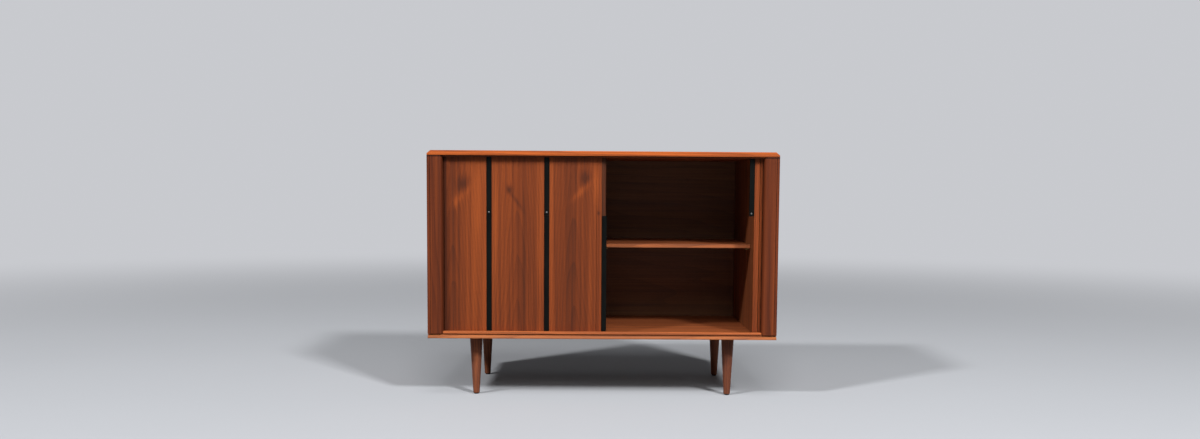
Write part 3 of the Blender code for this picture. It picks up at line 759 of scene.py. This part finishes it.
# A leaf is its panel, how much lighter it is and its heart's shift. A knot is its panel, its place across
# and up, and its size. A flare is its panel, its place, its half width and height, its lean and its light.
LEAVES = ((-3, 0.05, 0.022), (-2, 0.04, 0.0), (-1, -0.04, 0.006), (0, 0.09, 0.0), (1, 0.03, 0.01))
KNOTS = (
    (-3, 0.009, 0.615, 0.013),
    (-2, -0.024, 0.600, 0.006),
    (-1, 0.027, 0.634, 0.010),
    (-1, 0.066, 0.534, 0.003),
    (0, -0.020, 0.585, 0.010),
    (1, 0.025, 0.420, 0.011),
)
FLARES = (
    (-3, 0.003, 0.580, 0.010, 0.022, 0.75, 0.40),
    (-3, 0.050, 0.575, 0.006, 0.080, 0.0, 0.26),
    (-3, -0.024, 0.314, 0.010, 0.080, 0.0, 0.18),
    (-2, -0.064, 0.486, 0.006, 0.110, 0.0, 0.24),
    (-2, -0.006, 0.570, 0.004, 0.020, -0.7, -0.38),
    (-2, 0.063, 0.257, 0.008, 0.070, 0.0, -0.30),
    (-1, 0.013, 0.593, 0.008, 0.019, 0.9, 0.48),
    (-1, 0.061, 0.614, 0.006, 0.045, 0.0, 0.42),
    (0, -0.028, 0.555, 0.007, 0.020, 0.6, 0.30),
    (1, 0.032, 0.385, 0.007, 0.020, -0.6, 0.30),
)


def door_place(tree):
    return add(tree, "ShaderNodeAttribute", attribute_name="veneer").outputs["Vector"]


def on_panel(tree, panel, index):
    return maths(tree, "COMPARE", panel, index, HALF_A_PANEL)


def hill(tree, sideways, wide, upward=0.0, high=1.0):
    """A smooth hill of height 1 where both places are zero, wide and high metres to each side."""
    across = maths(tree, "DIVIDE", sideways, wide)
    up = maths(tree, "DIVIDE", upward, high)
    far = with_shares(tree, times(tree, up, up), (across, across))
    return maths(tree, "EXPONENT", times(tree, far, -0.5))


def knot(tree, panel, across, up, index, side, level, size):
    """How far a knot bends the arches round it, and how much it darkens the wood."""
    here = on_panel(tree, panel, index)
    sideways = maths(tree, "SUBTRACT", across, side)
    upward = maths(tree, "SUBTRACT", up, level)
    wide, high = BEND_SHARES
    bend = times(tree, hill(tree, sideways, size / wide, upward, size / high), here)
    core = times(tree, hill(tree, sideways, size, upward, size / KNOT_HEIGHT_SHARE), here)
    return times(tree, bend, size * KNOT_REACH_SHARE), times(tree, core, -KNOT_SHARE)


def flare(tree, panel, across, up, index, side, level, wide, high, lean, lift):
    """How much a slanted patch of curly fibres, wide and high metres to each side, lights the wood."""
    upward = maths(tree, "SUBTRACT", up, level)
    slanted = with_shares(tree, maths(tree, "SUBTRACT", across, side), (upward, -lean))
    glow = times(tree, hill(tree, slanted, wide, upward, high), on_panel(tree, panel, index))
    return times(tree, glow, lift)


def door_veneer():
    """Arches round a swaying heart, bent by knots and lit by flares. Beside a stile it has painted shadow."""
    material, tree = blank("door_veneer")
    parts = parted(tree, door_place(tree))
    panel = maths(tree, "FLOOR", maths(tree, "DIVIDE", parts["X"], PANEL_PITCH))
    across = maths(tree, "FLOORED_MODULO", parts["X"], PANEL_PITCH)
    across = maths(tree, "SUBTRACT", across, PANEL_PITCH / 2)
    side = with_shares(tree, -1.0, (maths(tree, "FLOORED_MODULO", panel, 2.0), 2.0))
    mirrored = times(tree, across, side)
    up = with_shares(tree, parts["Z"], (panel, LEAF_SHIFT))
    leaf = combined(tree, X=mirrored, Y=times(tree, panel, LEAF_DEPTH), Z=up)
    lean = spread(tree, leaf, SWAY, (-HEART_SWAY, HEART_SWAY))
    shifted = maths(tree, "ADD", mirrored, lean)
    shade = MIDDLE_TONE + (ARCH_SHARE + HEART_SHARE) * LATE_SHARE
    for index, lift, offset in LEAVES:
        here = on_panel(tree, panel, index)
        shifted = with_shares(tree, shifted, (here, offset))
        shade = with_shares(tree, shade, (here, lift))
    radius = maths(tree, "SQRT", with_shares(tree, HEART_DEPTH**2, (shifted, shifted)))
    radius = with_shares(tree, radius, (up, HEART_SLOPE), (noise(tree, leaf, *LEAF_WAVER), ARCH_WAVER))
    for facts in KNOTS:
        bend, change = knot(tree, panel, across, parts["Z"], *facts)
        radius = maths(tree, "ADD", radius, bend)
        shade = maths(tree, "ADD", change, shade)
    curly = 0.0
    for facts in FLARES:
        curly = maths(tree, "ADD", flare(tree, panel, across, parts["Z"], *facts), curly)
    curls = spread(tree, leaf, CURLS, CURLS_SHARES, CURLS_SPAN)
    late = late_wood(tree, radius, ARCH_WIDTH)
    lower = between(tree, parts["Z"], HEART_TOP, HEART_WHOLE, HEART_TOP_SHARE, 1.0)
    heart = times(tree, hill(tree, shifted, HEART_WIDTH), lower)
    reach = maths(tree, "ABSOLUTE", parts["X"])
    stile_shadow = between(tree, reach, STILE_SHADOW_LINE - STILE_SHADOW_BLUR, STILE_SHADOW_LINE + STILE_SHADOW_BLUR)
    dark = ((late, -ARCH_SHARE), (heart, -HEART_SHARE), (stile_shadow, -STILE_SHADOW_SHARE))
    return walnut_finish(material, leaf, with_shares(tree, shade, (curly, curls), *dark))


DOOR_VENEER = door_veneer()


# Canvas. A strong woven cloth, glued behind the slats so that they bend as one sheet. It is joined into
# each panel's own mesh and shows only from inside the case.
THREAD_SCALE = 260
THREAD_WAVER = 0.4
CANVAS_STOPS = ((0.0, (0.045, 0.032, 0.022, 1)), (1.0, (0.12, 0.09, 0.06, 1)))
CANVAS_ROUGHNESS = 0.92
CANVAS_GLOSS = 0.1
CANVAS_RELIEF = (0.4, 0.0003)


def canvas_cloth():
    material, tree = blank("canvas")
    sockets = {"Vector": door_place(tree), "Scale": THREAD_SCALE, "Distortion": THREAD_WAVER}
    warp = add(tree, "ShaderNodeTexWave", sockets, bands_direction="X").outputs["Fac"]
    weft = add(tree, "ShaderNodeTexWave", sockets, bands_direction="Z").outputs["Fac"]
    weave = times(tree, warp, weft)
    cloth = colour_ramp(tree, weave, CANVAS_STOPS)
    return surfaced(material, cloth, CANVAS_ROUGHNESS, CANVAS_GLOSS, weave, CANVAS_RELIEF)


CANVAS_CLOTH = canvas_cloth()


# Left door. A tambour of upright walnut slats on canvas, drawn shut. Slot 0 is its free edge, slots 11
# and 22 hold black strips, and the rest are slats. The tree sets the slats along the line of the track.
SLAT_WIDTH = 0.0148
SLAT_THICKNESS = 0.006
SLAT_EDGE = 0.00025
CANVAS_LINE = -0.212
CANVAS_THICKNESS = 0.0008
WELD = 2e-5
CORNER_START = 0.4475
CORNER_RADIUS = 0.028
CORNER_STEPS = 48
POCKET_LINE = CORNER_START + CORNER_RADIUS
TRACK_BACK_END = 0.23
LEFT_FREE_EDGE = 0.004
LIP_REACH = 0.0074
LIP_HEART = (0.3, 0.28, 0.1)
# The lip's tint is painted shade, for the recess that the lip lies in behind the slat's face.
LIP_SHADE_TINT = (0.35, 0.41, 0.46)


def outline_prism(tree, outline, foot, height):
    """Fills a closed curve, raises it from foot by height and closes it underneath."""
    floor = output(tree, "GeometryNodeFillCurve", {0: outline}, mode="NGONS")
    floor = moved(tree, floor, Z=foot)
    sockets = {"Mesh": floor, "Offset": (0, 0, 1), "Offset Scale": height, "Individual": False}
    raised = output(tree, "GeometryNodeExtrudeMesh", sockets, mode="FACES")
    whole = joined(tree, raised, output(tree, "GeometryNodeFlipFaces", {"Mesh": floor}))
    return output(tree, "GeometryNodeMergeByDistance", {"Geometry": whole, "Distance": WELD})


def rectangle(tree, width, depth, sign):
    """A rectangle with one long side on the X axis, before or behind it."""
    sockets = {0: width, 1: depth}
    curve = output(tree, "GeometryNodeCurvePrimitiveQuadrilateral", sockets, mode="RECTANGLE")
    return moved(tree, curve, Y=times(tree, depth, sign / 2))


def stored(tree, geometry, name, value, kind="FLOAT_VECTOR", domain="POINT"):
    sockets = {"Geometry": geometry, "Name": name, "Value": value}
    return output(tree, "GeometryNodeStoreNamedAttribute", sockets, data_type=kind, domain=domain)


def read(tree, name, kind="FLOAT_VECTOR"):
    return output(tree, "GeometryNodeInputNamedAttribute", {"Name": name}, data_type=kind)


def on_track(tree, given, shape, first, count):
    """Copies of a shape, standing on the track, one per slot, turned along it and marked with its place."""
    shape = stored(tree, shape, "veneer", output(tree, "GeometryNodeInputPosition"))
    slot = maths(tree, "ADD", output(tree, "GeometryNodeInputIndex"), first)
    along = times(tree, slot, given["Pitch"])
    track = output(tree, "GeometryNodeMeshToCurve", {"Mesh": given["Geometry"]})
    sockets = {"Curves": track, "Length": maths(tree, "ADD", along, given["Start"])}
    sample = add(tree, "GeometryNodeSampleCurve", sockets, mode="LENGTH", use_all_curves=True).outputs
    points = output(tree, "GeometryNodePoints", {"Count": count, "Position": sample["Position"]})
    points = stored(tree, points, "slot place", along, "FLOAT")
    sockets = {"Vector": sample["Tangent"]}
    turn = output(tree, "FunctionNodeAlignRotationToVector", sockets, axis="X", pivot_axis="Z")
    sockets = {"Points": points, "Instance": shape, "Rotation": turn}
    return output(tree, "GeometryNodeInstanceOnPoints", sockets)


def slat_tree():
    """Slats with their strip of canvas, one per slot, standing on a track and turned along it."""
    tree, given = group(
        "slats on a track",
        Float="Start, Pitch, Slat Width, Slat Thickness, Edge Radius, Canvas Thickness, Foot, Height",
        Int="First Slot, Count, Bare Slots",
        Material="Wood, Cloth",
    )
    profile = rectangle(tree, given["Slat Width"], given["Slat Thickness"], -1)
    sockets = {"Curve": profile, "Radius": given["Edge Radius"], "Count": EASING_STEPS}
    rounded = output(tree, "GeometryNodeFilletCurve", sockets, mode="POLY")
    slat = outline_prism(tree, rounded, given["Foot"], given["Height"])
    strip = rectangle(tree, maths(tree, "ABSOLUTE", given["Pitch"]), given["Canvas Thickness"], 1)
    strip = outline_prism(tree, strip, given["Foot"], given["Height"])
    strip = stored(tree, strip, "cloth", True, "BOOLEAN", "FACE")
    bare = given["Bare Slots"]
    first_strip = maths(tree, "SUBTRACT", given["First Slot"], bare)
    slats_placed = on_track(tree, given, slat, given["First Slot"], given["Count"])
    strips_placed = on_track(tree, given, strip, first_strip, maths(tree, "ADD", given["Count"], bare))
    real = output(tree, "GeometryNodeRealizeInstances", {0: joined(tree, slats_placed, strips_placed)})
    travel = combined(tree, X=read(tree, "slot place", "FLOAT"))
    real = stored(tree, real, "veneer", vectors(tree, "ADD", read(tree, "veneer"), travel))
    wooden = output(tree, "GeometryNodeSetMaterial", {"Geometry": real, "Material": given["Wood"]})
    sockets = {"Geometry": wooden, "Selection": read(tree, "cloth", "BOOLEAN"), "Material": given["Cloth"]}
    add(tree, "NodeGroupOutput", {0: output(tree, "GeometryNodeSetMaterial", sockets)})
    return tree


SLATS = slat_tree()
SHADED_LIP_WOOD = walnut_board("lip", ALONG_Z, LIP_HEART, LIP_SHADE_TINT)


def slats(name, track, start, pitch, span, low, high, thickness=SLAT_THICKNESS, width=SLAT_WIDTH):
    """Slats on a track. span is the first slot, the number of slats, and the bare slots before them."""
    first, count, bare = span
    steps = [(step, step + 1) for step in range(len(track) - 1)]
    return grown(
        name,
        SLATS,
        [(x, y, 0) for x, y in track],
        steps,
        start=start,
        pitch=pitch,
        first_slot=first,
        count=count,
        bare_slots=bare,
        slat_width=width,
        slat_thickness=thickness,
        edge_radius=SLAT_EDGE,
        canvas_thickness=CANVAS_THICKNESS,
        foot=low,
        height=high - low,
        wood=DOOR_VENEER,
        cloth=CANVAS_CLOTH,
    )


def lead_slat(node, body, free_edge):
    """The door's leading slat, from the CAD solid. Its lip, where the pull bar sits, has painted shade."""
    made = eased(shown(f"fine_{node}", own_mesh(node, DOOR_VENEER)), SLAT_EDGE)
    mesh = made.data
    mesh.materials.append(SHADED_LIP_WOOD)
    for face in mesh.polygons:
        if abs(face.center.x - free_edge) < LIP_REACH:
            face.material_index = 1
    marks = mesh.attributes.new("veneer", "FLOAT_VECTOR", "POINT")
    for point, mark in zip(mesh.vertices, marks.data):
        mark.vector = (point.co.x - free_edge, point.co.y - CANVAS_LINE, point.co.z)
    return put(made, body, "walnut", node)


def corner_track(middle_end):
    """The track from this X on its straight run, out to the right, round the corner and back."""
    centre_line = CANVAS_LINE + CORNER_RADIUS
    corner = quarter(CORNER_START, centre_line, CORNER_RADIUS, -QUARTER_TURN, CORNER_STEPS)
    return [(middle_end, CANVAS_LINE), *corner, (POCKET_LINE, TRACK_BACK_END)]


# The left door's pieces. The leading slat, its lip and the slat behind it slide as one. The others stand
# on the case, because a single slide joint can't take them round the corner.
LEFT_TRACK_END = 0.03
left_track = [(-x, y) for x, y in corner_track(-LEFT_TRACK_END)][::-1]
left_length = sum(math.dist(here, after) for here, after in zip(left_track, left_track[1:]))
left_start = left_length - (LEFT_TRACK_END - LEFT_FREE_EDGE)
PANEL_SLOTS = ((3, 8, 0), (12, 10, 1), (23, 9, 1))
SECOND_SLOT = (2, 1, 0)
inside = [corner.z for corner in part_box("left_slats_1")]
opening = (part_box("left_pull_bar")[0].z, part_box("left_1_upper_bar")[1].z)


def gathered(made):
    """Gives the piece a mesh of its own. It stands on the case and does not move with the door."""
    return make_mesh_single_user(made)


def panels(side, track, start, pitch):
    """A door's three panels, standing on its track in place of the CAD's."""
    made = []
    for number, span in enumerate(PANEL_SLOTS, 1):
        panel = slats(f"{side}_panel_{number}", track, start, pitch, span, *inside)
        made.append(put(panel, "case", "walnut", f"{side}_slats_{number}"))
    return made


lead_slat("left_lead_slat", "left_door", LEFT_FREE_EDGE)
second = slats("left_second_slat", left_track, left_start, -SLAT_PITCH, SECOND_SLOT, *opening)
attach(second, "left_door")
for panel in panels("left", left_track, left_start, -SLAT_PITCH):
    gathered(panel)


# Black strips. Narrow black-lacquered bars between the panels, each one an upper and a lower length that
# meet a little below a bright screw. The longer one at the left door's free edge is its pull.
PAINT_GRAIN = ((420, 420, 9), 3, 0.6)
PAINT_WEAR = ((26, 26, 12), 4, 0.6)
PAINT_STOPS = ((0.3, (0.0020, 0.0024, 0.0021, 1)), (0.75, (0.0036, 0.0042, 0.0036, 1)))
PAINT_ROUGHNESS = (0.34, 0.46)
PAINT_GLOSS = 0.07
PAINT_RELIEF = (0.12, 0.0002)
STRIP_EASING = 0.0004
STRIP_HEAD_HEIGHT = 0.0009
STRIP_SCREW = (0.0025, STRIP_HEAD_HEIGHT, 0.0009)
BAR_SHANK = 0.006
PULL_SHANK = 0.0035
PULL_SEED = 3
RIGHT_SEED = 4
STRIPS = (1, 2)


def black_lacquer():
    material, tree = blank("black_lacquer")
    own = own_place(tree)
    wear = noise(tree, own, *PAINT_WEAR)
    paint = colour_ramp(tree, wear, PAINT_STOPS)
    roughness = between(tree, wear, *NOISE_SPAN, *PAINT_ROUGHNESS)
    return surfaced(material, paint, roughness, PAINT_GLOSS, noise(tree, own, *PAINT_GRAIN), PAINT_RELIEF)


BLACK = black_lacquer()


def strip_screw(node, body, facing, seed, shank=BAR_SHANK):
    """A strip's small screw, its head standing as far out as the CAD screw's."""
    low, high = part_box(node)
    seat = high.x - STRIP_HEAD_HEIGHT if facing == FACING_RIGHT else low.y + STRIP_HEAD_HEIGHT
    return screws(f"fine_{node}", [node], body, facing, seat, seed, *STRIP_SCREW, shank)


dressed("left_pull_bar", BLACK, "black_wood", "left_door", STRIP_EASING)
for number in STRIPS:
    for level in ("upper", "lower"):
        gathered(dressed(f"left_{number}_{level}_bar", BLACK, "black_wood", easing=STRIP_EASING))
    gathered(strip_screw(f"left_{number}_bar_screw", "case", FACING_FRONT, number))


# Right door. The same tambour, drawn open: only its leading strip and slat show, and the rest has gone
# round the corner of the track into the pocket beside the partition.
RIGHT_FREE_EDGE = 0.425
RIGHT_TRACK_START = 0.40
NARROW_WIDTH = 0.0068
NARROW_SHIFT = -0.0026
right_track = corner_track(RIGHT_TRACK_START)
right_start = RIGHT_FREE_EDGE - RIGHT_TRACK_START

lead_slat("right_lead_slat", "right_door", RIGHT_FREE_EDGE)
second = slats(
    "right_second_slat",
    ((RIGHT_TRACK_START, CANVAS_LINE), (POCKET_LINE, CANVAS_LINE)),
    right_start + NARROW_SHIFT,
    SLAT_PITCH,
    SECOND_SLOT,
    *opening,
    width=NARROW_WIDTH,
)
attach(second, "right_door")
panels("right", right_track, right_start, SLAT_PITCH)
dressed("right_pull_bar", BLACK, "black_wood", "right_door", STRIP_EASING)
strip_screw("right_pull_bar_screw", "right_door", FACING_FRONT, PULL_SEED, PULL_SHANK)
for number in STRIPS:
    for level in ("upper", "lower"):
        dressed(f"right_{number}_{level}_bar", BLACK, "black_wood", easing=STRIP_EASING)
    strip_screw(f"right_{number}_bar_screw", "case", FACING_RIGHT, number + RIGHT_SEED)


# Right door's front run. The slats that cover the opening when the right door is drawn shut. At rest they
# lie gathered behind the stile, where a door on one slide joint can keep them.
RUN_THICKNESS = 0.0025
RUN_LINE = CANVAS_LINE - SLAT_THICKNESS + RUN_THICKNESS
RUN_OUTER = 0.4765
RUN_INNER = 0.4625
RUN_TRAVEL = 0.421
RUN_SLOTS = ((3, 8, 0), (12, 10, 1), (23, 8, 1))
DOT_SHANK = 0.002
HALVINGS = 40
run_start = RIGHT_FREE_EDGE - RUN_TRAVEL


def resting_place(closed):
    """The X at rest of a point that must lie at this X when the door is shut."""
    low, high = closed, max(RUN_OUTER, closed + RUN_TRAVEL)
    for _ in range(HALVINGS):
        middle = (low + high) / 2
        share = min(max((RUN_OUTER - middle) / (RUN_OUTER - RUN_INNER), 0), 1)
        reached = middle - RUN_TRAVEL * share * share * (3 - 2 * share)
        if reached < closed:
            low = middle
        else:
            high = middle
    return (low + high) / 2


def drawn_in(made):
    """Gathers a piece that was made in its closed place into its place at rest."""
    for point in made.data.vertices:
        point.co.x = resting_place(point.co.x)
    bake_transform(made)
    return made


def closed_bar(name, x, low, high):
    """A black strip of the CAD strip's width on the face of the closed door."""
    near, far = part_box("left_1_upper_bar")
    shape = bmesh.new()
    bmesh.ops.create_cube(shape, size=1)
    for vertex in shape.verts:
        vertex.co.x = x + vertex.co.x * (far.x - near.x)
        vertex.co.y = near.y if vertex.co.y < 0 else RUN_LINE
        vertex.co.z = low if vertex.co.z < 0 else high
    return eased(shown(name, mesh_of(shape, name, BLACK)), STRIP_EASING)


run_track = ((run_start - SLAT_PITCH, RUN_LINE), (POCKET_LINE, RUN_LINE))
for number, span in enumerate(RUN_SLOTS, 1):
    name = f"right_front_panel_{number}"
    run = slats(name, run_track, SLAT_PITCH, SLAT_PITCH, span, *opening, RUN_THICKNESS)
    drawn_in(run)
bar_spans = {
    "upper": (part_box("left_1_upper_bar")[0].z, opening[1]),
    "lower": (opening[0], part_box("left_1_lower_bar")[1].z),
}
for number in STRIPS:
    bar_place = run_start + number * PANEL_PITCH
    for level, (low, high) in bar_spans.items():
        drawn_in(closed_bar(f"right_front_{level}_bar_{number}", bar_place, low, high))
    low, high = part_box("left_1_bar_screw")
    dot = Vector((bar_place, low.y + STRIP_HEAD_HEIGHT, (low.z + high.z) / 2))
    name = f"right_front_dot_{number}"
    drawn_in(slotted_screws(name, [dot], FACING_FRONT, number, *STRIP_SCREW, DOT_SHANK))


# Top board. One wide walnut board that overlies the sides and holds the doors' upper track. Its front and
# side edges are cut back at 45 degrees, and the cut band catches most light of all.
TOP_HEART = (0.25, 0.04, -0.78)
# The top's tint is lighter and oranger than the other boards', which paints part of the bright light on its
# cut band.
TOP_TINT_AND_HIGHLIGHT = (1.8, 1.8, 1.3)
dressed("top_board", walnut_board("top", ALONG_X, TOP_HEART, TOP_TINT_AND_HIGHLIGHT))


# Legs. Four round walnut legs, turned to a taper with a softened foot, their grain upright. Each one is
# bored for its bolt above and for its glide below.
LEG_SIDES = 72
LEG_TINT = (1.25, 1.8, 3.0)
LEG_RING_WIDTH = 0.006
LEG_HEART = (0.06, 0.05, 0.3)
FOOT_ROUNDING = 0.0015
HEAD_EASING = 0.0008
ROUND_STEPS = 5
LEG_TOP_RADIUS = 0.019
LEG_FOOT_RADIUS = 0.0095
BOLT_BORE = 0.0041
STEM_BORE = 0.0014
INSIDE_GAP = 0.0003


def lathe(name, profile, centre, material):
    """Turns a profile of radius and level about an upright axis, on which its two ends lie."""
    shape = bmesh.new()
    turns = [math.tau * side / LEG_SIDES for side in range(LEG_SIDES)]
    rings = []
    for radius, level in profile[1:-1]:
        rim = [(centre.x + radius * math.cos(turn), centre.y + radius * math.sin(turn)) for turn in turns]
        rings.append([shape.verts.new((x, y, level)) for x, y in rim])
    for inner, outer in zip(rings, rings[1:]):
        for side in range(LEG_SIDES):
            after = (side + 1) % LEG_SIDES
            shape.faces.new((inner[side], inner[after], outer[after], outer[side]))
    for ring, (_, level) in ((rings[0], profile[0]), (rings[-1], profile[-1])):
        pole = shape.verts.new((centre.x, centre.y, level))
        for side in range(LEG_SIDES):
            shape.faces.new((ring[side], ring[(side + 1) % LEG_SIDES], pole))
    bmesh.ops.recalc_face_normals(shape, faces=shape.faces)
    return shown(name, mesh_of(shape, name, material))


def leg_profile(foot, head, bolt_end, stem_end):
    sole = LEG_FOOT_RADIUS - FOOT_ROUNDING
    lower = quarter(sole, foot + FOOT_ROUNDING, FOOT_ROUNDING, -QUARTER_TURN, ROUND_STEPS)
    upper = quarter(LEG_TOP_RADIUS - HEAD_EASING, head - HEAD_EASING, HEAD_EASING, 0, ROUND_STEPS)
    hollow_above = [(BOLT_BORE, head), (BOLT_BORE, bolt_end), (0, bolt_end)]
    return [(0, stem_end), (STEM_BORE, stem_end), (STEM_BORE, foot), *lower, *upper, *hollow_above]


LEGS = [f"{end}_{side}_leg" for end in ("front", "rear") for side in ("left", "right")]
for number, node in enumerate(LEGS, 1):
    low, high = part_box(node)
    centre = (low + high) / 2
    bolt_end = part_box(f"{node}_bolt")[0].z - INSIDE_GAP
    stem_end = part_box(f"{node}_glide")[1].z + INSIDE_GAP
    aside, behind, above = LEG_HEART
    heart = (aside * number - centre.x, behind - centre.y, above * number)
    wood = walnut_board(node, ALONG_Z, heart, LEG_TINT, ring_width=LEG_RING_WIDTH)
    profile = leg_profile(low.z, high.z, bolt_end, stem_end)
    put(lathe(f"turned_{node}", profile, centre, wood), "case", "walnut", node)


# Leg bolts and inserts. A steel bolt stands in each leg's head and turns into a brass insert that is sunk
# in the bottom board from below.
BOLT_EASING = 0.0003
INSERT_EASING = 0.0002
for node in LEGS:
    dressed(f"{node}_bolt", STEEL, "steel", easing=BOLT_EASING)
    dressed(f"{node}_insert", BRASS, "brass", easing=INSERT_EASING)


# Glides. A small disc of black felt on a stem under each leg, which keeps it off the floor.
FUZZ = ((1600, 1600, 1600), 4, 0.7, 1)
FELT_STOPS = ((0.3, (0.006, 0.0055, 0.005, 1)), (0.75, (0.022, 0.020, 0.018, 1)))
FELT_ROUGHNESS = 0.95
FELT_GLOSS = 0.1
FELT_RELIEF = (0.6, 0.0003)
GLIDE_EASING = 0.0003


def black_felt():
    material, tree = blank("felt")
    fuzz = noise(tree, own_place(tree), *FUZZ)
    tuft = colour_ramp(tree, fuzz, FELT_STOPS)
    return surfaced(material, tuft, FELT_ROUGHNESS, FELT_GLOSS, fuzz, FELT_RELIEF)


FELT = black_felt()
for node in LEGS:
    dressed(f"{node}_glide", FELT, "felt", easing=GLIDE_EASING)
